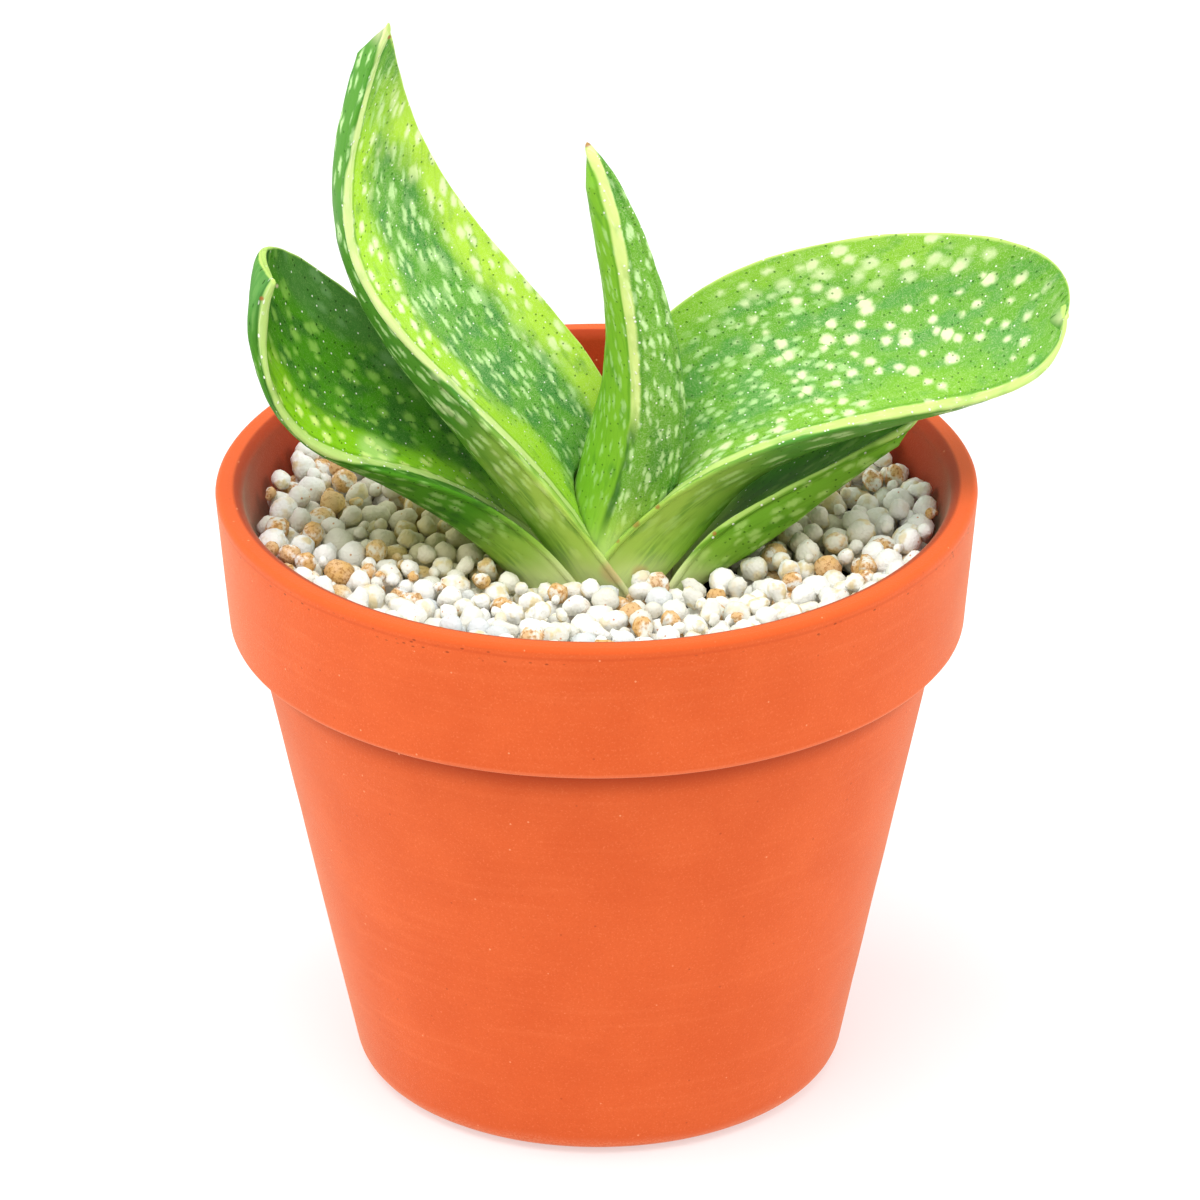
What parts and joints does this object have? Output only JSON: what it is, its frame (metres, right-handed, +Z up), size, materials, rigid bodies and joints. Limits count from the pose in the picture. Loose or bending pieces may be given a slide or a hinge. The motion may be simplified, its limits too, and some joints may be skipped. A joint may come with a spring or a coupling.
{
  "type": "potted gasteria",
  "caption": "Small spotted succulent with thick tongue-shaped leaves, in a round tapered clay pot with a rim band and a pale pellet topping.",
  "frame": {"origin": "on the surface that the pot stands on, under the middle of the object's outline, 6 mm to the right of the pot's axis", "axes": "+Z up along the pot's axis, +X towards the big leaf on the right, -Y towards the viewer"},
  "size_m": [0.1119, 0.1, 0.1475],
  "materials": {
    "pot": "unglazed matte",
    "soil": "loose potting mix",
    "pellets": "matte",
    "stem": "matte",
    "leaf": "satin, spotted",
    "leaf_dark": "satin, spotted"
  },
  "bodies": {
    "root": {"pot": "pot", "soil": "soil", "pellets": "pellets", "stem": "stem", "leaf_left_low": "leaf_dark", "leaf_left_tall": "leaf", "leaf_centre": "leaf", "leaf_right_large": "leaf", "leaf_right_low": "leaf_dark"}
  },
  "joints": []
}
